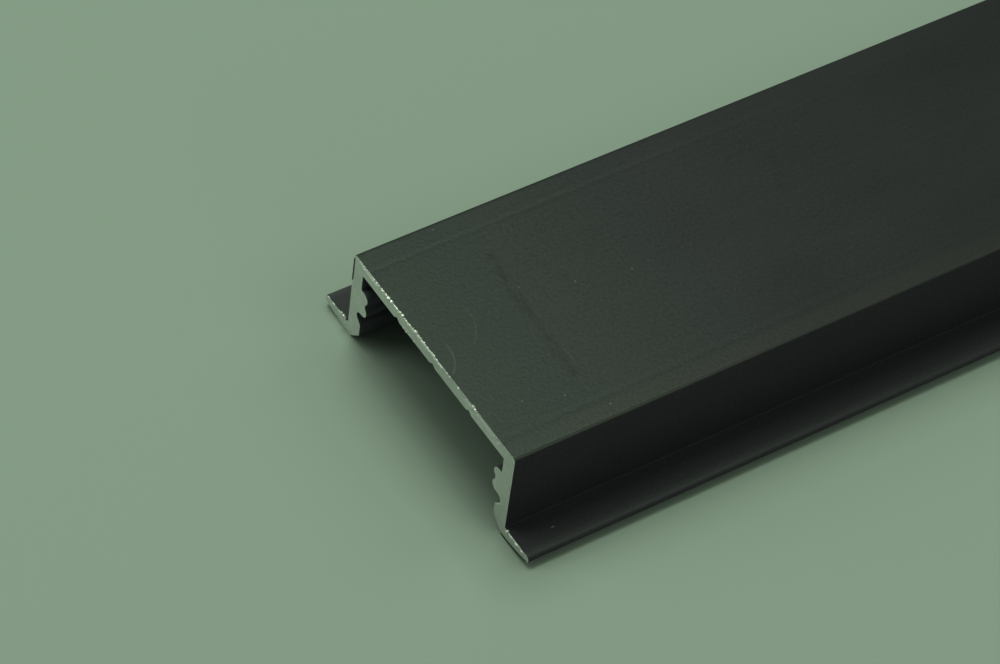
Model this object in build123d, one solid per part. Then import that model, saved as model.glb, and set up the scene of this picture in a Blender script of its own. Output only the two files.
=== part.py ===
from build123d import *
from math import asin, atan2, cos, degrees, radians, sin, tan
import os

# Millimetres. X runs along the bar, Y across it, Z up. The bar lies mouth down:
# its feet are at Z = 0 and the flat back of its web is the top.

# Stock length, and the overall size of the section
LENGTH = 1000.0
BODY_WIDTH = 24.0
HEIGHT = 9.6
FLANGE_REACH = 3.5

# Walls
WEB_THICKNESS = 1.3
LEG_THICKNESS = 1.4
FLANGE_ROOT = 1.2
FLANGE_TIP = 0.75

# Roundings left by the die
OUTER_CORNER_R = 0.3
INNER_CORNER_R = 0.15
FLANGE_FILLET_R = 0.1

# Round groove in each leg, where the edge of the diffuser snaps in
GROOVE_RISE = 3.36
GROOVE_R = 0.5
GROOVE_DEPTH = 0.3

# Clip rib over the groove: two rounded beads with a waist between them
RIB_REACH = 1.0
BEAD_R = 0.62
BEAD_PITCH = 1.5
WAIST_R = 0.5

# Lip under the groove, with a sloped and rounded nose
LIP_REACH = 0.3
NOSE_R = 0.4
NOSE_SLOPE = 45.0

# Foot: the mouth flares out to the narrow flat that the leg stands on
FOOT_WIDTH = 0.35
FOOT_INSET = 0.1
FOOT_EDGE_R = 0.3
FLARE_SLOPE = 45.0

# Marking grooves in the underside of the web
MARK_PITCH = 5.4
MARK_WIDTH = 0.8
MARK_DEPTH = 0.28

NODE = "channel_profile"


def heading(angle):
    """Unit direction at an angle in degrees, counted from +Y towards +Z."""
    return (cos(radians(angle)), sin(radians(angle)))


def flange_and_wall(foot_end):
    """Underside, round tip and seat of the flange, and the outer face of the leg above it."""
    tip_r = FLANGE_TIP / 2
    reach = BODY_WIDTH / 2 + FLANGE_REACH - tip_r - foot_end[0]
    rise = FLANGE_ROOT - tip_r
    # One arc leaves the foot level and runs smoothly into the round tip
    underside_r = (reach**2 + rise**2 - tip_r**2) / (2 * (rise - tip_r))
    turn = degrees(atan2(reach, underside_r - rise))
    underside = JernArc(foot_end, heading(0), underside_r, turn)
    tip = JernArc(underside @ 1, underside % 1, tip_r, 180 - turn)
    seat = Line(tip @ 1, (BODY_WIDTH / 2 + FLANGE_FILLET_R, FLANGE_ROOT))
    root = JernArc(seat @ 1, seat % 1, FLANGE_FILLET_R, -90)
    wall = Line(root @ 1, (BODY_WIDTH / 2, HEIGHT - OUTER_CORNER_R))
    JernArc(wall @ 1, wall % 1, OUTER_CORNER_R, 90)


def web_underside(inner_y, level):
    """Underside of the web from its middle out to the leg, with its marking grooves."""
    half_mark = MARK_WIDTH / 2
    Polyline(
        (0, level + MARK_DEPTH),
        (half_mark, level),
        (MARK_PITCH - half_mark, level),
        (MARK_PITCH, level + MARK_DEPTH),
        (MARK_PITCH + half_mark, level),
        (inner_y - INNER_CORNER_R, level),
    )


def clip_rib(inner_y, level):
    """Inner face of the leg and the two beads of the rib under it. Returns the last arc."""
    rib_top = GROOVE_RISE + GROOVE_R + 2 * BEAD_R + BEAD_PITCH
    bead_y = inner_y - RIB_REACH + BEAD_R
    # The waist is an arc that touches both beads from outside
    lean = degrees(asin(BEAD_PITCH / 2 / (BEAD_R + WAIST_R)))
    corner = JernArc((inner_y - INNER_CORNER_R, level), heading(0), INNER_CORNER_R, -90)
    face = Line(corner @ 1, (inner_y, rib_top + INNER_CORNER_R))
    root = JernArc(face @ 1, face % 1, INNER_CORNER_R, -90)
    ledge = Line(root @ 1, (bead_y, rib_top))
    upper_bead = JernArc(ledge @ 1, ledge % 1, BEAD_R, 90 + lean)
    waist = JernArc(upper_bead @ 1, upper_bead % 1, WAIST_R, -2 * lean)
    return JernArc(waist @ 1, waist % 1, BEAD_R, 90 + lean)


def groove_and_lip(inner_y, rib_end):
    """Round groove, sloped nose, face of the lip and flare, from the rib down to the foot."""
    mouth_y = inner_y - LIP_REACH
    foot_y = BODY_WIDTH / 2 - FOOT_INSET - FOOT_WIDTH
    roof = Line(rib_end, (inner_y + GROOVE_DEPTH - GROOVE_R, rib_end.Y))
    groove = JernArc(roof @ 1, heading(0), GROOVE_R, NOSE_SLOPE - 180)
    nose_start_y = mouth_y + NOSE_R * (1 - sin(radians(NOSE_SLOPE)))
    slope_length = ((groove @ 1).X - nose_start_y) / cos(radians(NOSE_SLOPE))
    slope = PolarLine(groove @ 1, slope_length, NOSE_SLOPE - 180)
    nose = JernArc(slope @ 1, slope % 1, NOSE_R, 90 - NOSE_SLOPE)
    FilletPolyline(
        nose @ 1,
        (mouth_y, (foot_y - mouth_y) * tan(radians(FLARE_SLOPE))),
        (foot_y, 0),
        (foot_y + FOOT_WIDTH, 0),
        radius=(FOOT_EDGE_R, FOOT_EDGE_R),
    )


def channel_profile():
    """The whole bar: half of the section drawn and mirrored, filled, and extruded both ways."""
    inner_y = BODY_WIDTH / 2 - LEG_THICKNESS
    underside = HEIGHT - WEB_THICKNESS
    back_y = BODY_WIDTH / 2 - OUTER_CORNER_R
    with BuildPart() as bar:
        with BuildSketch(Plane.YZ):
            with BuildLine():
                flange_and_wall((BODY_WIDTH / 2 - FOOT_INSET, 0))
                web_underside(inner_y, underside)
                rib = clip_rib(inner_y, underside)
                groove_and_lip(inner_y, rib @ 1)
                mirror(about=Plane.YZ)
                Line((-back_y, HEIGHT), (back_y, HEIGHT))
            make_face()
        extrude(amount=LENGTH / 2, both=True)
    return bar.part


os.makedirs("parts", exist_ok=True)
export_step(channel_profile(), f"parts/{NODE}.step")
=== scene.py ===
import bmesh
import bpy
import numpy as np
from mathutils import Matrix, Vector


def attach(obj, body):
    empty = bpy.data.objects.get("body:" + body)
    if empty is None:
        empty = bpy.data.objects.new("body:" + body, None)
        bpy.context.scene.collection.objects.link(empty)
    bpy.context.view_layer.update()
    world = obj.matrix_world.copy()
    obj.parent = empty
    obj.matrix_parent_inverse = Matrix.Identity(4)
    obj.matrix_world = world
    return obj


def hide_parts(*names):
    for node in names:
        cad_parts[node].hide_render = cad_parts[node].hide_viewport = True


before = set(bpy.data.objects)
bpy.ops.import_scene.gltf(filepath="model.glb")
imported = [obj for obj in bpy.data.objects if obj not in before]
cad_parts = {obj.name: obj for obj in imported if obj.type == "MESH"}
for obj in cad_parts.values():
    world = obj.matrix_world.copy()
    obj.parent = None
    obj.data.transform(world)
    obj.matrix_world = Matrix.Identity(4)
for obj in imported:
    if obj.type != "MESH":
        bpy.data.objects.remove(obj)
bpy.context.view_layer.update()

# The extruded bar: a flanged channel of aluminium, pressed through a die in one length, so that
# every section along it is the same. The web is on top, each leg has a clip rib and a snap groove
# inside, and a flange runs along each foot. It is black anodised, and sawn to length after that.
MM = 0.001

LENGTH = 1000.0
BODY_WIDTH = 24.0
HEIGHT = 9.6
FLANGE_REACH = 3.5
WEB_THICKNESS = 1.3
LEG_THICKNESS = 1.4
FLANGE_ROOT = 1.2
FLANGE_TIP = 0.75
OUTER_CORNER_R = 0.3
INNER_CORNER_R = 0.15
FLANGE_FILLET_R = 0.1
GROOVE_RISE = 3.36
GROOVE_R = 0.5
GROOVE_DEPTH = 0.3
RIB_REACH = 1.0
BEAD_R = 0.62
BEAD_PITCH = 1.5
WAIST_R = 0.5
LIP_REACH = 0.3
NOSE_R = 0.4
NOSE_SLOPE = 45.0
FOOT_WIDTH = 0.35
FOOT_INSET = 0.1
FOOT_EDGE_R = 0.3
FLARE_SLOPE = 45.0
MARK_PITCH = 5.4
MARK_WIDTH = 0.8
MARK_DEPTH = 0.28

HALF_LENGTH = LENGTH / 2
INNER_Y = BODY_WIDTH / 2 - LEG_THICKNESS
MOUTH_Y = INNER_Y - LIP_REACH
FOOT_Y = BODY_WIDTH / 2 - FOOT_INSET - FOOT_WIDTH
TIP_R = FLANGE_TIP / 2
TIP_Y = BODY_WIDTH / 2 + FLANGE_REACH - TIP_R
UNDERSIDE = HEIGHT - WEB_THICKNESS
FILLET_TOP = FLANGE_ROOT + FLANGE_FILLET_R
FLARE_CUT_BACK = FOOT_EDGE_R * np.tan(np.radians(FLARE_SLOPE) / 2)
LIP_FOOT = (FOOT_Y - MOUTH_Y) * np.tan(np.radians(FLARE_SLOPE)) + FLARE_CUT_BACK

# Level parts of the rib and the groove fall by this much, which keeps the sawn face's rows apart
LEVEL_FALL = 0.01
# Lines that the die leaves along the bar, deepest near the valleys and shallower by a share
# elsewhere, and the shallow valley in the web's top beside each leg
DIE_LINE_PITCH = 0.3
DIE_LINE_DEPTH = 0.004
DIE_LINE_SPREAD = 0.8
DIE_LINE_SHARE = 0.2
TIP_FADE = 1.0
VALLEY_Y = 9.8
VALLEY_WIDTH = 0.25
VALLEY_DEPTH = 0.006
SHOULDER_FALL = 0.006
# Thickness of the bare metal at a sawn end
SAWN_RIM = 0.004
# Points of a piece that are closer than this are one point
MERGE_DISTANCE = 0.0002
# Steps along the longer runs and bends of the section
RUN_STEPS = 40
BEAD_STEPS = 18
FLANGE_STEPS = 28
TIP_STEPS = 8


def run_to(path, end, steps):
    """Straight run: equal steps from the path's last point to the end point."""
    share = np.linspace(0, 1, steps + 1)[1:, None]
    return np.vstack([path, path[-1] + share * (np.asarray(end) - path[-1])])


def bend_on(path, heading, radius, turn, steps):
    """Arc: the path leaves its last point at a heading and turns through an angle, in degrees.
    Each point is the arc's centre plus the radius at that point's angle."""
    start = np.radians(heading - 90 * np.sign(turn))
    centre = path[-1] - radius * np.array([np.cos(start), np.sin(start)])
    angles = start + np.radians(turn) * np.linspace(0, 1, steps + 1)[1:]
    return np.vstack([path, centre + radius * np.stack([np.cos(angles), np.sin(angles)], axis=1)])


def web_rows():
    """Outer and inner line of the web: level above, and below it the underside, which rises into
    each marking groove by the groove's depth times the share of its half width, as a V."""
    half_mark = MARK_WIDTH / 2
    y = np.concatenate([np.linspace(0, half_mark, 5)[:-1],
                        np.linspace(half_mark, MARK_PITCH - half_mark, RUN_STEPS)[:-1],
                        np.linspace(MARK_PITCH - half_mark, MARK_PITCH + half_mark, 9)[:-1],
                        np.linspace(MARK_PITCH + half_mark, INNER_Y - INNER_CORNER_R, RUN_STEPS)])
    nearest = np.minimum(np.abs(y), np.abs(y - MARK_PITCH))
    under = UNDERSIDE + MARK_DEPTH * np.clip(1 - nearest / half_mark, 0, None)
    return np.stack([y, np.full_like(y, HEIGHT)], axis=1), np.stack([y, under], axis=1)


def rib_and_groove(inner):
    """Carries the inner line down the leg: face, ledge, two beads with a waist between them, roof
    and round of the groove, slope, nose and lip, each a straight run or an arc."""
    rib_top = GROOVE_RISE + GROOVE_R + 2 * BEAD_R + BEAD_PITCH
    # The waist touches both beads from outside
    lean = np.degrees(np.arcsin(BEAD_PITCH / 2 / (BEAD_R + WAIST_R)))
    inner = run_to(inner, (INNER_Y, rib_top + INNER_CORNER_R), 8)
    inner = bend_on(inner, -90, INNER_CORNER_R, -90, 6)
    inner = run_to(inner, (INNER_Y - RIB_REACH + BEAD_R, rib_top - LEVEL_FALL), 1)
    inner = bend_on(inner, 180, BEAD_R, 90 + lean, BEAD_STEPS)
    inner = bend_on(inner, 270 + lean, WAIST_R, -2 * lean, 12)
    inner = bend_on(inner, 270 - lean, BEAD_R, 90 + lean, BEAD_STEPS)
    inner = run_to(inner, (INNER_Y + GROOVE_DEPTH - GROOVE_R, inner[-1, 1] - LEVEL_FALL), 1)
    inner = bend_on(inner, 0, GROOVE_R, NOSE_SLOPE - 180, BEAD_STEPS)
    nose_y = MOUTH_Y + NOSE_R * (1 - np.sin(np.radians(NOSE_SLOPE)))
    slope_drop = (inner[-1, 0] - nose_y) * np.tan(np.radians(NOSE_SLOPE))
    inner = run_to(inner, (nose_y, inner[-1, 1] - slope_drop), 4)
    inner = bend_on(inner, NOSE_SLOPE - 180, NOSE_R, 90 - NOSE_SLOPE, 8)
    return run_to(inner, (MOUTH_Y, LIP_FOOT), 6)


def flare_and_foot(inner):
    """Carries the inner line out along the sloped flare, with a fillet at each end of it, and over
    the narrow flat that the leg stands on."""
    slope = np.radians(FLARE_SLOPE)
    inner = bend_on(inner, -90, FOOT_EDGE_R, 90 - FLARE_SLOPE, 5)
    flare_end = (FOOT_Y - FLARE_CUT_BACK * np.cos(slope), FLARE_CUT_BACK * np.sin(slope))
    inner = run_to(inner, flare_end, 8)
    inner = bend_on(inner, -FLARE_SLOPE, FOOT_EDGE_R, FLARE_SLOPE, 5)
    return run_to(inner, (BODY_WIDTH / 2 - FOOT_INSET, 0), 2)


def half_section():
    """Outer and inner line of half the section, from its middle out to the tip of the flange. Both
    have as many points, and each pair of points spans the wall between them."""
    outer, inner = web_rows()

    outer = run_to(outer, (BODY_WIDTH / 2 - OUTER_CORNER_R, HEIGHT), 10)
    outer = bend_on(outer, 0, OUTER_CORNER_R, -90, 10)
    outer = run_to(outer, (BODY_WIDTH / 2, UNDERSIDE - INNER_CORNER_R), 8)
    inner = bend_on(inner, 0, INNER_CORNER_R, -90, len(outer) - len(inner))

    leg_top = len(inner)
    inner = rib_and_groove(inner)
    leg_z = inner[leg_top:, 1]
    outer = np.vstack([outer, np.stack([np.full_like(leg_z, BODY_WIDTH / 2), leg_z], axis=1)])

    # One arc leaves the foot level and runs into the round tip. Its first part is under the fillet.
    reach = TIP_Y - (BODY_WIDTH / 2 - FOOT_INSET)
    rise = FLANGE_ROOT - TIP_R
    underside_r = (reach**2 + rise**2 - TIP_R**2) / (2 * (rise - TIP_R))
    turn = np.degrees(np.arctan2(reach, underside_r - rise))
    root_turn = np.degrees(np.arcsin((FLANGE_FILLET_R + FOOT_INSET) / underside_r))
    inner = flare_and_foot(inner)
    inner = bend_on(inner, 0, underside_r, root_turn, 3)
    outer = run_to(outer, (BODY_WIDTH / 2, FILLET_TOP), 3)
    outer = bend_on(outer, -90, FLANGE_FILLET_R, 90, len(inner) - len(outer))

    inner = bend_on(inner, root_turn, underside_r, turn - root_turn, FLANGE_STEPS)
    inner = bend_on(inner, turn, TIP_R, 90 - turn, TIP_STEPS)
    outer = run_to(outer, (TIP_Y, FLANGE_ROOT), FLANGE_STEPS)
    outer = bend_on(outer, 0, TIP_R, -90, TIP_STEPS)
    inner[-1] = outer[-1]
    return outer, inner


def die_relief(line, seed):
    """Relief left by the die on the outer line. Each point moves along the line's normal by random
    depths, one per pitch of length, that fade out at both tips and shrink to a share of themselves
    as a bell curve of the distance from a valley. The web's top has a valley beside each leg, a
    bell curve deep, and falls off beyond it with the square of the distance."""
    step = np.gradient(line, axis=0)
    normal = np.stack([-step[:, 1], step[:, 0]], axis=1)
    normal /= np.linalg.norm(normal, axis=1)[:, None]
    run = np.concatenate([[0], np.cumsum(np.linalg.norm(np.diff(line, axis=0), axis=1))])
    knots = np.arange(0, run[-1] + 2 * DIE_LINE_PITCH, DIE_LINE_PITCH)
    depths = np.random.default_rng(seed).uniform(-DIE_LINE_DEPTH, DIE_LINE_DEPTH, len(knots))
    lift = np.interp(run, knots, depths)
    lift *= np.clip(np.minimum(run, run[-1] - run) / TIP_FADE, 0, 1)
    beyond = np.abs(line[:, 0]) - VALLEY_Y
    lift *= DIE_LINE_SHARE + (1 - DIE_LINE_SHARE) * np.exp(-(beyond / DIE_LINE_SPREAD) ** 2)
    on_top = line[:, 1] > HEIGHT - OUTER_CORNER_R / 10
    shoulder = SHOULDER_FALL * (np.clip(beyond, 0, None) / (BODY_WIDTH / 2 - VALLEY_Y)) ** 2
    lift -= on_top * (VALLEY_DEPTH * np.exp(-(beyond / VALLEY_WIDTH) ** 2) + shoulder)
    return line + lift[:, None] * normal


def whole_section():
    """Outer and inner line of the whole section, from the tip of the right flange to the tip of the
    left one: the half section and its mirror image, with the die's relief on the outer line."""
    outer, inner = [np.vstack([half[::-1] * (-1, 1), half[1:]]) for half in half_section()]
    return die_relief(outer, seed=11), inner


def grid_faces(rows, columns, first):
    """Four-sided faces of a grid whose points are numbered row by row from a first number."""
    corner = first + np.arange(rows - 1)[:, None] * columns + np.arange(columns - 1)
    ring = [corner, corner + 1, corner + columns + 1, corner + columns]
    return np.stack(ring, axis=-1).reshape(-1, 4)


def closed_piece(name, grids, material, crease=30):
    """A piece made of grids of points in millimetres that share their edges. Points that fall
    together are merged, faces turned outwards, and edges sharper than the crease angle kept."""
    firsts = np.cumsum([0] + [g.shape[0] * g.shape[1] for g in grids])
    faces = np.concatenate([grid_faces(*g.shape[:2], f) for g, f in zip(grids, firsts)])
    points = np.concatenate([g.reshape(-1, 3) for g in grids]) * MM
    mesh = bpy.data.meshes.new(name)
    mesh.from_pydata(points.tolist(), [], faces.tolist())
    work = bmesh.new()
    work.from_mesh(mesh)
    bmesh.ops.remove_doubles(work, verts=work.verts, dist=MERGE_DISTANCE * MM)
    bmesh.ops.recalc_face_normals(work, faces=work.faces)
    work.to_mesh(mesh)
    work.free()
    mesh.shade_smooth()
    mesh.set_sharp_from_angle(angle=np.radians(crease))
    mesh.materials.append(material)
    piece = bpy.data.objects.new(name, mesh)
    bpy.context.scene.collection.objects.link(piece)
    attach(piece, "root")
    return piece


def swept(line, stations):
    """A line of (y, z) carried along the bar: the same line at every station of x."""
    x = np.broadcast_to(stations[:, None, None], (len(stations), len(line), 1))
    return np.concatenate([x, np.broadcast_to(line, (len(stations), *line.shape))], axis=2)


def across_wall(outer, inner, x, steps):
    """The face of a cut at x: straight rows across the wall from the outer to the inner line."""
    share = np.linspace(0, 1, steps + 1)[:, None, None]
    yz = outer + share * (inner - outer)
    return np.concatenate([np.full((*yz.shape[:2], 1), x), yz], axis=2)


def add_node(tree, kind, inputs=(), **settings):
    """A shader node of that kind, with its settings, and its inputs given a value or a link."""
    node = tree.nodes.new("ShaderNode" + kind)
    for key, value in settings.items():
        setattr(node, key, value)
    for key, value in dict(inputs).items():
        if isinstance(value, bpy.types.NodeSocket):
            tree.links.new(value, node.inputs[key])
        else:
            node.inputs[key].default_value = value
    return node


def new_finish(name):
    """An empty finish: its node tree, its surface shader, and its place in millimetres."""
    finish = bpy.data.materials.new(name)
    finish.use_nodes = True
    tree = finish.node_tree
    shader = tree.nodes["Principled BSDF"]
    place = add_node(tree, "TexCoord").outputs["Object"]
    place = add_node(tree, "VectorMath", {0: place, 3: 1 / MM}, operation="SCALE").outputs[0]
    return finish, tree, shader, place


def grain(tree, place, stretch, detail=2.0):
    """Noise from 0 to 1 whose features are as long as given along x, y and z, in millimetres."""
    sized = add_node(tree, "VectorMath", {0: place, 1: [1 / s for s in stretch]},
                     operation="MULTIPLY").outputs[0]
    noise = add_node(tree, "TexNoise", {"Vector": sized, "Scale": 1.0, "Detail": detail})
    return noise.outputs["Fac"]


def between(tree, value, low, high, to_low=0.0, to_high=1.0):
    """A value carried from one range to another in a straight line, and held at the ends."""
    return add_node(tree, "MapRange", {"Value": value, "From Min": low, "From Max": high,
                                       "To Min": to_low, "To Max": to_high}).outputs[0]


def sum_of(tree, *values):
    """Values added up."""
    total = values[0]
    for value in values[1:]:
        total = add_node(tree, "Math", {0: total, 1: value}, operation="ADD").outputs[0]
    return total


def times(tree, a, b):
    """One value times another."""
    return add_node(tree, "Math", {0: a, 1: b}, operation="MULTIPLY").outputs[0]


def mixed(tree, share, first, second):
    """Colour between two colours: the share says how much of the second one there is."""
    return add_node(tree, "Mix", {0: share, 6: first, 7: second}, data_type="RGBA").outputs[2]


def add_bump(tree, shader, height, depth):
    """Bump on the shader's surface: a rise of the height by 1 stands for a depth in millimetres."""
    bump = add_node(tree, "Bump", {"Height": height, "Distance": depth * MM, "Strength": 1.0})
    tree.links.new(bump.outputs[0], shader.inputs["Normal"])


def off_point(tree, place, point, axes=(1, 1, 1)):
    """Distance from a point, counted along the axes that are 1."""
    offset = add_node(tree, "VectorMath", {0: place, 1: point}, operation="SUBTRACT").outputs[0]
    offset = add_node(tree, "VectorMath", {0: offset, 1: axes}, operation="MULTIPLY").outputs[0]
    return add_node(tree, "VectorMath", {0: offset}, operation="LENGTH").outputs["Value"]


def arc_through(a, b, c):
    """Centre and radius of the circle through three points: its centre is as far from each."""
    a, b, c = (np.array(point, float) for point in (a, b, c))
    centre = np.linalg.solve(2 * np.stack([b - a, c - a]), [b @ b - a @ a, c @ c - a @ a])
    return centre, float(np.linalg.norm(a - centre))


def on_web_top(tree, rise):
    """Mask of the web's top: 1 down to 0.1 mm under it, fading to 0 at 0.2 mm."""
    return between(tree, rise, HEIGHT - 0.2, HEIGHT - 0.1)


def arc_mark(tree, place, points, width):
    """Mask of a mark on the web's top: 1 along the circle through three points (x, y) given from
    low y to high y, fading to 0 half a width beside it and over 0.4 mm at its two ends."""
    centre, radius = arc_through(*points)
    beside = add_node(tree, "Math", {0: off_point(tree, place, (*centre, 0), (1, 1, 0)), 1: radius},
                      operation="SUBTRACT").outputs[0]
    beside = add_node(tree, "Math", {0: beside}, operation="ABSOLUTE").outputs[0]
    mask = between(tree, beside, 0, width / 2, 1, 0)
    _, across, rise = add_node(tree, "SeparateXYZ", {0: place}).outputs
    low, high = points[0][1], points[2][1]
    mask = times(tree, mask, between(tree, across, low - 0.2, low + 0.2))
    mask = times(tree, mask, between(tree, across, high - 0.2, high + 0.2, 1, 0))
    return times(tree, mask, on_web_top(tree, rise))


def spot_mark(tree, place, point, radius):
    """Mask of a spot: 1 round a point (x, y, z), fading from 0.4 of the radius to 0 at it."""
    return between(tree, off_point(tree, place, point), 0.4 * radius, radius, 1, 0)


def line_marks(tree, place, lines):
    """Masks of marks given by their three points, width and strength: each one's mask times its
    strength."""
    return [times(tree, arc_mark(tree, place, points, width), strength)
            for points, width, strength in lines]


def spots_at(tree, place, spots, level, radius):
    """Masks of spots (x, y) at a level, added up."""
    return sum_of(tree, *(spot_mark(tree, place, (*spot, level), radius) for spot in spots))


# Colours of the black skin: two tones of its back, and two of the faces under it, which are painted
# lighter and bluer than the back as painted light, and what is mixed over them: painted sheen,
# painted fill light, painted highlight and light, and marks. Then its roughness on the back, how
# much rougher the other faces are, its reflection and the height of its grain.
ANODISED_DARK = (0.0205, 0.0202, 0.0222, 1)
ANODISED_LIGHT = (0.0325, 0.0325, 0.0345, 1)
# Painted sheen: green on the back next to the near end
PAINTED_SHEEN_NEAR_CUT = (0.0220, 0.0560, 0.0220, 1)
# Painted sheen: brown on the back beyond the right valley, lightening it
PAINTED_SHEEN_RIGHT = (0.100, 0.066, 0.036, 1)
# The faces under the back: painted lighter and bluer than the back, as painted light
PAINTED_LIT_UNDER_DARK = (0.0275, 0.0232, 0.0298, 1)
PAINTED_LIT_UNDER_LIGHT = (0.0392, 0.0342, 0.0420, 1)
# Painted fill light inside the channel, paler and bluer
PAINTED_FILL_INSIDE = (0.120, 0.120, 0.150, 1)
# Painted light: on the flanges, along the right corner and towards the flange edges
PAINTED_LIGHT_SKIN = (0.100, 0.112, 0.100, 1)
RUBBED_SKIN = (0.004, 0.004, 0.005, 1)
PALE_DUST = (0.30, 0.30, 0.29, 1)
BACK_ROUGHNESS = (0.17, 0.21)
UNDER_ROUGHER = 0.36
SKIN_SPECULAR = 0.1
SKIN_GRAIN_HEIGHT = 0.008

# The marks and the fades along the bar take x from the near end
anodised, tree, shader, place = new_finish("black_anodised_satin")
from_cut = add_node(tree, "VectorMath", {0: place, 1: (HALF_LENGTH, 0, 0)},
                    operation="ADD").outputs[0]
past_cut, across, rise = add_node(tree, "SeparateXYZ", {0: from_cut}).outputs
aside = add_node(tree, "Math", {0: across}, operation="ABSOLUTE").outputs[0]
on_back = on_web_top(tree, rise)

# The back's speckle is strongest by the cut, where the saw's dust lies, and fades along the bar
speckle = grain(tree, place, (0.3, 0.3, 0.3), detail=4.0)
stronger = times(tree, on_back, between(tree, past_cut, 5, 45, 0.3, -0.55))
speckle = sum_of(tree, speckle, times(tree, sum_of(tree, speckle, -0.5), stronger))
drawn = grain(tree, place, (40, 0.3, 0.3))
cloud = grain(tree, place, (14, 7, 7))
tone = sum_of(tree, times(tree, speckle, 0.65), times(tree, drawn, 0.1),
              times(tree, cloud, 0.15), 0.05)
tone = between(tree, tone, 0.35, 0.65)

# Under the back, painted light: the inside is painted paler and bluer than the walls as painted
# fill light, and the flanges a little paler as painted light
painted_fill_inside_mask = between(tree, aside, 11.0, 11.3, 0.6, 0)
# Painted light: the flanges a little paler
painted_light_on_flange = between(tree, aside, 12.02, 12.12, 0, 0.09)
under = mixed(tree, painted_fill_inside_mask, mixed(tree, tone, PAINTED_LIT_UNDER_DARK, PAINTED_LIT_UNDER_LIGHT), PAINTED_FILL_INSIDE)
under = mixed(tree, painted_light_on_flange, under, PAINTED_LIGHT_SKIN)

# Painted sheen on the back: a faint greenish sheen next to the near end that fades over 25 mm, and
# beyond the right valley, next to the corner, a faint brown sheen that lightens it
sheen_near_cut_painted = between(tree, past_cut, 2, 25, 0.2, 0)
sheen_right_painted = between(tree, across, -10.6, -10.0, 0.055, 0)
back = mixed(tree, sheen_near_cut_painted, mixed(tree, tone, ANODISED_DARK, ANODISED_LIGHT), PAINTED_SHEEN_NEAR_CUT)
back = mixed(tree, sheen_right_painted, back, PAINTED_SHEEN_RIGHT)
colour = mixed(tree, on_back, under, back)

# Painted highlight along the rounded right corner, and painted light towards the edges of the
# flanges, away from the wall's shade; both fade along the bar
painted_highlight_corner = times(tree, between(tree, rise, HEIGHT - 0.18, HEIGHT - 0.1, 0, 0.26),
                  between(tree, across, -11.85, -11.6, 1, 0))
painted_light_flange_edge = times(tree, between(tree, aside, 14.6, 15.4, 0, 0.28),
                       between(tree, rise, FLANGE_ROOT - 0.1, FLANGE_ROOT - 0.05))
painted_light_edges = times(tree, sum_of(tree, painted_highlight_corner, painted_light_flange_edge),
             between(tree, past_cut, 15, 45, 1, 0.45))
colour = mixed(tree, painted_light_edges, colour, PAINTED_LIGHT_SKIN)

# Marks of handling. A line is three points (x, y) of an arc, from low y to high y, its width and
# its strength. The rubbed ones are two stripes, the pale ones a curled fibre, a scratch and a nick.
RUBBED_LINES = ((((8.9, -7.0), (9.0, 0.0), (9.6, 7.0)), 1.3, 0.64),
                (((14.2, 1.3), (13.0, 3.7), (12.4, 6.0)), 1.2, 0.16))
RUBBED_SPOT = (7.8, 8.4, HEIGHT)
PALE_LINES = ((((0.28, -2.42), (1.32, -0.88), (1.46, 0.43)), 0.22, 0.13),
              (((3.6, -0.4), (4.5, 0.9), (4.8, 3.1)), 0.2, 0.07),
              (((9.6, -5.5), (9.55, -4.8), (9.45, -4.0)), 0.15, 0.08))
SPECKS = ((6.9, 11.3), (9.8, 2.9), (14.2, 1.3), (19.0, 0.3), (3.7, -7.2), (7.0, -8.3),
          (9.7, -10.7))
FLANGE_CHIPS = ((3.3, -13.74), (3.45, -13.73), (0.87, -15.43))
uneven = between(tree, grain(tree, place, (0.5, 1.1, 1.1), detail=4.0), 0.38, 0.62, 0.25, 1)
rubbed = sum_of(tree, *line_marks(tree, from_cut, RUBBED_LINES),
                times(tree, spot_mark(tree, from_cut, RUBBED_SPOT, 0.5), 0.3))
colour = mixed(tree, times(tree, rubbed, uneven), colour, RUBBED_SKIN)
dust = add_node(tree, "TexVoronoi", {"Vector": place, "Scale": 0.65}).outputs["Distance"]
pale = sum_of(tree, *line_marks(tree, from_cut, PALE_LINES),
              between(tree, dust, 0.015, 0.035, 0.12, 0),
              times(tree, spots_at(tree, from_cut, SPECKS, HEIGHT, 0.11), 0.24),
              times(tree, spots_at(tree, from_cut, FLANGE_CHIPS, FLANGE_ROOT, 0.09), 0.6))
tree.links.new(mixed(tree, pale, colour, PALE_DUST), shader.inputs["Base Color"])

# The back is smoother than the faces under it
roughness = sum_of(tree, between(tree, cloud, 0.3, 0.7, *BACK_ROUGHNESS),
                   times(tree, speckle, 0.03), between(tree, on_back, 0, 1, UNDER_ROUGHER, 0))
tree.links.new(roughness, shader.inputs["Roughness"])
shader.inputs["Specular IOR Level"].default_value = SKIN_SPECULAR
add_bump(tree, shader, sum_of(tree, speckle, times(tree, drawn, 0.1)), SKIN_GRAIN_HEIGHT)

# Stations along the bar, closer together over the first 80 mm
outer_line, inner_line = whole_section()
skin_end = HALF_LENGTH - SAWN_RIM
stations = np.concatenate([[-skin_end], np.linspace(-skin_end + 2, -skin_end + 80, 30),
                           np.linspace(-skin_end + 100, skin_end, 26)])
bar = closed_piece("anodised_bar",
                   [swept(outer_line, stations), swept(inner_line, stations),
                    across_wall(outer_line, inner_line, -skin_end, 1),
                    across_wall(outer_line, inner_line, skin_end, 1)],
                   anodised)
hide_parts("channel_profile")

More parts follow.
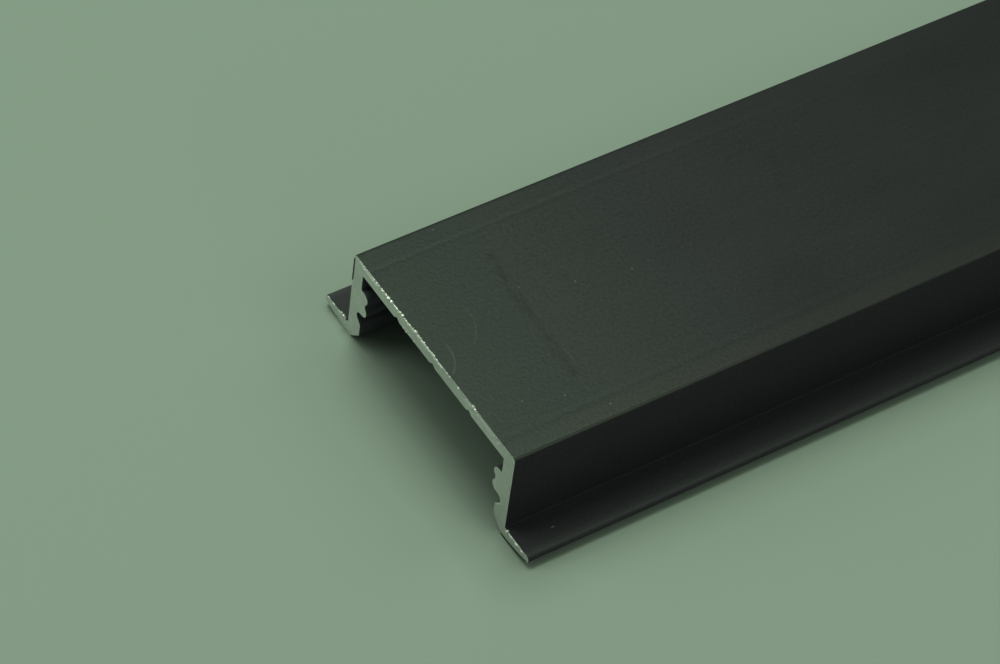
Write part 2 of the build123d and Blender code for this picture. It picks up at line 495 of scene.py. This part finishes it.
# The sawn ends: bare aluminium, where the blade went through the anodised skin. The teeth left
# fine arcs across the whole face. A dull stain lies across the middle of the web, and another
# down the right leg.
BLADE_CENTRE = (-35.0, 118.0)
TOOTH_MARK_PITCH = 0.22
TOOTH_MARK_DEPTH = 0.003
WALL_STEPS = 12
SAWN_DULL = (0.60, 0.61, 0.59, 1)
SAWN_BRIGHT = (0.80, 0.81, 0.78, 1)
STAIN = (0.05, 0.05, 0.05, 1)
SAWN_ROUGHNESS = (0.42, 0.56)
SAWN_GRAIN_HEIGHT = 0.006


def saw_relief(yz, seed):
    """Depth of the saw marks at each (y, z): random depths, one per pitch of distance from the
    blade's centre and blended in between, so that each mark is an arc about that centre."""
    distance = np.hypot(yz[..., 0] - BLADE_CENTRE[0], yz[..., 1] - BLADE_CENTRE[1])
    knots = np.arange(distance.min() - 1, distance.max() + 1, TOOTH_MARK_PITCH)
    depths = np.random.default_rng(seed).uniform(0, TOOTH_MARK_DEPTH, len(knots))
    return np.interp(distance, knots, depths)


sawn, tree, shader, place = new_finish("sawn_bare_aluminium")
shader.inputs["Metallic"].default_value = 1.0
from_blade = off_point(tree, place, (0, *BLADE_CENTRE), (0, 1, 1))
arcs = add_node(tree, "TexNoise", {"W": from_blade, "Scale": 7.0, "Detail": 3.0},
                noise_dimensions="1D").outputs["Fac"]
pits = grain(tree, place, (0.12, 0.12, 0.12))
patches = grain(tree, place, (1.6, 1.6, 1.6))
tone = sum_of(tree, times(tree, arcs, 0.35), times(tree, pits, 0.35), times(tree, patches, 0.3))
from_stain = off_point(tree, place, (0, -0.8, 0), (0, 1, 0))
across = add_node(tree, "SeparateXYZ", {0: place}).outputs["Y"]
stained = sum_of(tree, between(tree, from_stain, 0.8, 4.0, 0.12, 0),
                 between(tree, across, -11.0, -10.0, 0.07, 0))
colour = mixed(tree, between(tree, tone, 0.35, 0.65), SAWN_DULL, SAWN_BRIGHT)
tree.links.new(mixed(tree, stained, colour, STAIN), shader.inputs["Base Color"])
tree.links.new(between(tree, pits, 0.3, 0.7, *SAWN_ROUGHNESS), shader.inputs["Roughness"])
add_bump(tree, shader, sum_of(tree, arcs, pits), SAWN_GRAIN_HEIGHT)

for side, name in ((-1, "sawn_end_near"), (1, "sawn_end_far")):
    face = across_wall(outer_line, inner_line, side * HALF_LENGTH, WALL_STEPS)
    face[..., 0] -= side * saw_relief(face[..., 1:], seed=21 + side)
    back = across_wall(outer_line, inner_line, side * skin_end, 1)
    rims = [np.stack([face[k], back[k]]) for k in (0, -1)]
    closed_piece(name, [face, back, *rims], sawn)

# Burrs of bare aluminium that the blade's teeth pushed out along the edges of the near end: a
# ragged bead along the top edge of the web, and smaller ones on the flanges and under the web.
RING_PITCH = 0.04
FEWEST_RINGS = 9
# In radii of the strand: how far its middle is shifted at random, how large its rings are, and how
# far in front of the cut its middle is
RING_SHIFT = 0.25
RING_SIZES = (0.65, 1.25)
STAND_OUT = 0.3
BURR_DULL = (0.64, 0.65, 0.59, 1)
BURR_BRIGHT = (0.84, 0.85, 0.79, 1)
BURR_ROUGHNESS = (0.50, 0.36)


def strand(path, radius, seed, blunt=2.0, proud=1.0, lean=0.0, around=9):
    """A strand of torn metal on the near end, along a path of (y, z), made of rings about points at
    even steps along it. With t from -1 to 1 along the path, a ring's radius is the given one times
    the square root of 1 - |t|**blunt. How far it comes out of the cut is that times proud, and its
    upper side leans into the bar by lean times the height over the path. Random numbers roughen
    the rings and shift their middles."""
    path = np.array(path, float)
    run = np.concatenate([[0], np.cumsum(np.linalg.norm(np.diff(path, axis=0), axis=1))])
    t = np.linspace(-1, 1, max(FEWEST_RINGS, int(run[-1] / RING_PITCH)))
    centre = np.stack([np.interp((t + 1) / 2 * run[-1], run, path[:, k]) for k in (0, 1)], axis=1)
    rng = np.random.default_rng(seed)
    centre += rng.uniform(-RING_SHIFT, RING_SHIFT, centre.shape) * radius
    rough = rng.uniform(*RING_SIZES, (len(t), around))
    rough = np.concatenate([rough, rough[:, :1]], axis=1)
    r = radius * rough * np.sqrt(1 - np.abs(t) ** blunt)[:, None]
    along = path[-1] - path[0]
    up = np.array([-along[1], along[0]]) / np.linalg.norm(along)
    turn = np.linspace(0, 2 * np.pi, around + 1)
    out = proud * (-STAND_OUT * radius + r * np.cos(turn))
    x = -HALF_LENGTH + out + lean * r * np.sin(turn)
    yz = centre[:, None] + (r * np.sin(turn))[..., None] * up
    return np.concatenate([x[..., None], yz], axis=2)


def lumps(level, sizes, seed, proud=1.0):
    """Short strands along an edge at a level: each has its place y, its height over the level, its
    radius, and its reach to each side."""
    return [strand([(y - reach, level + over), (y + reach, level + over)], radius, seed + k,
                   proud=proud)
            for k, (y, over, radius, reach) in enumerate(sizes)]


def torn_piece(name, strands, material):
    """A closed piece made of strands, smooth where they bend by less than 60 degrees."""
    closed_piece(name, strands, material, crease=60)


burr, tree, shader, place = new_finish("bright_burr_aluminium")
shader.inputs["Metallic"].default_value = 1.0
bright = between(tree, grain(tree, place, (0.1, 0.1, 0.1)), 0.3, 0.7)
tree.links.new(mixed(tree, bright, BURR_DULL, BURR_BRIGHT), shader.inputs["Base Color"])
tree.links.new(between(tree, bright, 0, 1, *BURR_ROUGHNESS), shader.inputs["Roughness"])

WEB_EDGE_BURRS = (
    (9.45, -0.12, 0.07, 0.12), (8.98, -0.09, 0.08, 0.14), (8.53, -0.06, 0.08, 0.12),
    (8.20, -0.12, 0.10, 0.14), (7.59, -0.08, 0.10, 0.16), (7.18, -0.05, 0.13, 0.16),
    (6.75, -0.02, 0.17, 0.20), (6.22, -0.04, 0.17, 0.22), (5.59, -0.06, 0.12, 0.26),
    (5.01, -0.03, 0.10, 0.16), (4.61, 0.03, 0.14, 0.18), (3.54, -0.03, 0.10, 0.18),
    (2.64, 0.08, 0.15, 0.20), (2.01, 0.02, 0.11, 0.18), (0.92, -0.05, 0.07, 0.18),
    (-0.07, 0.05, 0.10, 0.20), (-0.53, 0.0, 0.05, 0.14), (-2.01, -0.06, 0.06, 0.14),
    (-2.47, -0.04, 0.07, 0.14), (-3.70, -0.04, 0.08, 0.18))
# Small teeth in between, at uneven steps: in full size as far as y = 4, and none beyond y = -4
TOOTH_COUNT = 60
LEAST_TOOTH_R = 0.008
teeth = np.random.default_rng(41)
tooth_y = 11.85 - np.cumsum(teeth.uniform(0.2, 0.42, TOOTH_COUNT))
tooth_r = teeth.uniform(0.03, 0.07, TOOTH_COUNT) * np.clip((tooth_y + 4) / 8, 0, 1)
web_edge_teeth = [(y, -0.04, r, 0.1) for y, r in zip(tooth_y, tooth_r) if r > LEAST_TOOTH_R]
# The ragged band under them, where the metal was drawn over: its places y, and over the top's level
WEB_EDGE_BAND = ((-1.4, -0.20), (-0.8, -0.17), (0.2, -0.11), (1.3, -0.16), (2.4, -0.11),
                 (3.6, -0.17), (5.0, -0.20), (7.0, -0.18), (8.3, -0.26), (9.4, -0.36),
                 (10.4, -0.34), (11.5, -0.18))
band = strand([(y, HEIGHT + over) for y, over in WEB_EDGE_BAND], 0.14, seed=99, blunt=6,
              proud=0.45, lean=0.42)
torn_piece("burr_web_edge", [band, *lumps(HEIGHT, WEB_EDGE_BURRS, seed=100),
                             *lumps(HEIGHT, web_edge_teeth, seed=140)], burr)

# The band is duller on the right, with a large and a flat lump
DULL_BAND = ((-9.8, -0.5), (-6.6, -0.32), (-4.6, -0.42))
dull_band = strand([(y, HEIGHT + over) for y, over in DULL_BAND], 0.17, seed=239, blunt=4,
                   proud=0.2, lean=0.2)
large_lump = lumps(HEIGHT, ((-6.05, -0.1, 0.25, 0.4),), seed=240, proud=0.6)
flat_lump = lumps(HEIGHT, ((-9.27, -0.2, 0.18, 0.3),), seed=241, proud=0.25)
torn_piece("dull_burr_web_edge", [dull_band, *large_lump, *flat_lump], sawn)

UNDER_WEB_BURRS = ((2.75, 0.10, 0.06, 0.10), (3.47, 0.14, 0.06, 0.10), (3.93, 0.06, 0.07, 0.12),
                   (4.35, 0.10, 0.06, 0.10))
torn_piece("burr_under_web", lumps(UNDERSIDE, UNDER_WEB_BURRS, seed=160), burr)

RIGHT_FLANGE_BURRS = ((-12.41, -0.05, 0.16, 0.20), (-12.91, -0.16, 0.10, 0.18),
                      (-13.33, -0.08, 0.08, 0.16), (-13.73, -0.18, 0.10, 0.18),
                      (-14.50, -0.22, 0.05, 0.20))
right_thread = strand([(-12.2, FLANGE_ROOT - 0.08), (-14.2, FLANGE_ROOT - 0.10)], 0.025, seed=31,
                      blunt=4)
torn_piece("burr_right_flange",
           [right_thread, *lumps(FLANGE_ROOT, RIGHT_FLANGE_BURRS, seed=170)], burr)

LEFT_FLANGE_BURRS = ((12.50, 0.08, 0.24, 0.28), (12.94, 0.16, 0.12, 0.16),
                     (13.30, -0.04, 0.09, 0.20), (14.21, -0.06, 0.09, 0.24),
                     (14.96, -0.04, 0.09, 0.24))
torn_piece("burr_left_flange", lumps(FLANGE_ROOT, LEFT_FLANGE_BURRS, seed=180, proud=0.6), sawn)

lip_burr = strand([(-10.55, HEIGHT - 6.92), (-11.0, HEIGHT - 6.55)], 0.08, seed=33)
torn_piece("burr_right_lip", [lip_burr], burr)

# A torn edge of the black skin, folded over the cut down the outer edge of the left leg, and a dark
# strand of the skin along the lower edge of the right flange, put there as painted shade to deepen
# the line of shade under that edge
SKIN_R = 0.05
LEFT_SKIN = ((11.97, -0.45), (11.95, -1.8), (11.97, -3.15))
left_skin = strand([(y, HEIGHT + over) for y, over in LEFT_SKIN], SKIN_R, seed=34, blunt=12)
torn_piece("skin_left_leg", [left_skin], anodised)
# Painted shade: a dark strand along the lower edge of the right flange
y, z = inner_line.T
low_edge = inner_line[(y > -15.3) & (y < -11.5) & (z < 1)]
right_shade_strand = strand(low_edge + (0, 1.3 * SKIN_R), SKIN_R, seed=35, blunt=12)
torn_piece("shade_strand_right_flange", [right_shade_strand], anodised)

# The floor that the bar lies on, just under its feet, so that no two faces fall together
FLOOR_SIZE = 20
FLOOR_DROP = 0.01
FLOOR_COLOUR = (0.292, 0.342, 0.292, 1)
FLOOR_ROUGHNESS = 0.7
bpy.ops.mesh.primitive_plane_add(size=FLOOR_SIZE, location=(0, 0, -FLOOR_DROP * MM))
floor = bpy.context.object
floor.name = "floor"
paint, _, shader, _ = new_finish("floor_paint")
shader.inputs["Base Color"].default_value = FLOOR_COLOUR
shader.inputs["Roughness"].default_value = FLOOR_ROUGHNESS
floor.data.materials.append(paint)

# Soft studio light: a large round lamp overhead, the main lamp beyond the bar on its left, weaker
# ones round the sides, and a dim pale room behind them
LIGHT_COLOUR = (0.82, 1.0, 0.82)
LAMP_AIM = (-0.5, 0.0, 0.0)
LAMP_DISTANCE = 2.5
ROOM_LIGHT = 0.1
ROOM_SEEN = 0.3


def soft_lamp(name, lean, bearing, diameter, radiance):
    """A round lamp that faces the near end: its lean from overhead and its bearing from +X towards
    +Y in degrees, its diameter in metres, and how bright its face is."""
    data = bpy.data.lights.new(name, "AREA")
    data.shape = "DISK"
    data.size = diameter
    data.color = LIGHT_COLOUR
    data.energy = radiance * np.pi * np.pi * (diameter / 2) ** 2
    lean, bearing = np.radians((lean, bearing))
    toward = Vector((np.sin(lean) * np.cos(bearing), np.sin(lean) * np.sin(bearing), np.cos(lean)))
    lamp = bpy.data.objects.new(name, data)
    lamp.location = Vector(LAMP_AIM) + LAMP_DISTANCE * toward
    lamp.rotation_euler = toward.to_track_quat("Z", "Y").to_euler()
    lamp.visible_camera = False
    bpy.context.scene.collection.objects.link(lamp)


soft_lamp("overhead_lamp", lean=17, bearing=90, diameter=1.05, radiance=5.3)
soft_lamp("main_lamp", lean=31, bearing=62, diameter=1.1, radiance=5.3)
soft_lamp("back_lamp", lean=22, bearing=115, diameter=1.4, radiance=1.8)
soft_lamp("right_lamp", lean=45, bearing=0, diameter=1.2, radiance=1.3)
soft_lamp("front_lamp", lean=43, bearing=300, diameter=1.2, radiance=1.7)
soft_lamp("left_lamp", lean=51, bearing=133, diameter=1.0, radiance=2.2)
soft_lamp("low_left_lamp", lean=70, bearing=150, diameter=0.8, radiance=3.0)
soft_lamp("low_right_lamp", lean=75, bearing=272, diameter=0.8, radiance=2.0)

world = bpy.data.worlds.new("pale_room")
world.use_nodes = True
tree = world.node_tree
path = add_node(tree, "LightPath").outputs
seen = sum_of(tree, *(path[kind] for kind in (
    "Is Camera Ray", "Is Glossy Ray", "Is Transmission Ray")))
tree.links.new(between(tree, seen, 0, 1, ROOM_LIGHT, ROOM_SEEN),
               tree.nodes["Background"].inputs["Strength"])
tree.nodes["Background"].inputs["Color"].default_value = (*LIGHT_COLOUR, 1)
bpy.context.scene.world = world

# The camera stands where the photograph was taken from
CAMERA_PLACE = (-0.62836, -0.16873, 0.25824)
CAMERA_RIGHT = (0.84141966, -0.53209562, 0.09427192)
CAMERA_UP = (0.35398115, 0.67453966, 0.64783763)
CAMERA_BACK = (-0.40830172, -0.51173284, 0.75592275)
SENSOR_WIDTH = 36.0
FOCAL_LENGTH = 149.746
lens = bpy.data.cameras.new("camera")
lens.sensor_width = SENSOR_WIDTH
lens.lens = FOCAL_LENGTH
lens.clip_start = 0.01
lens.clip_end = 100.0
camera = bpy.data.objects.new("camera", lens)
camera.matrix_world = Matrix.Translation(CAMERA_PLACE) @ Matrix(
    (CAMERA_RIGHT, CAMERA_UP, CAMERA_BACK)).transposed().to_4x4()
bpy.context.scene.collection.objects.link(camera)
bpy.context.scene.camera = camera
bpy.context.scene.view_settings.view_transform = "Standard"
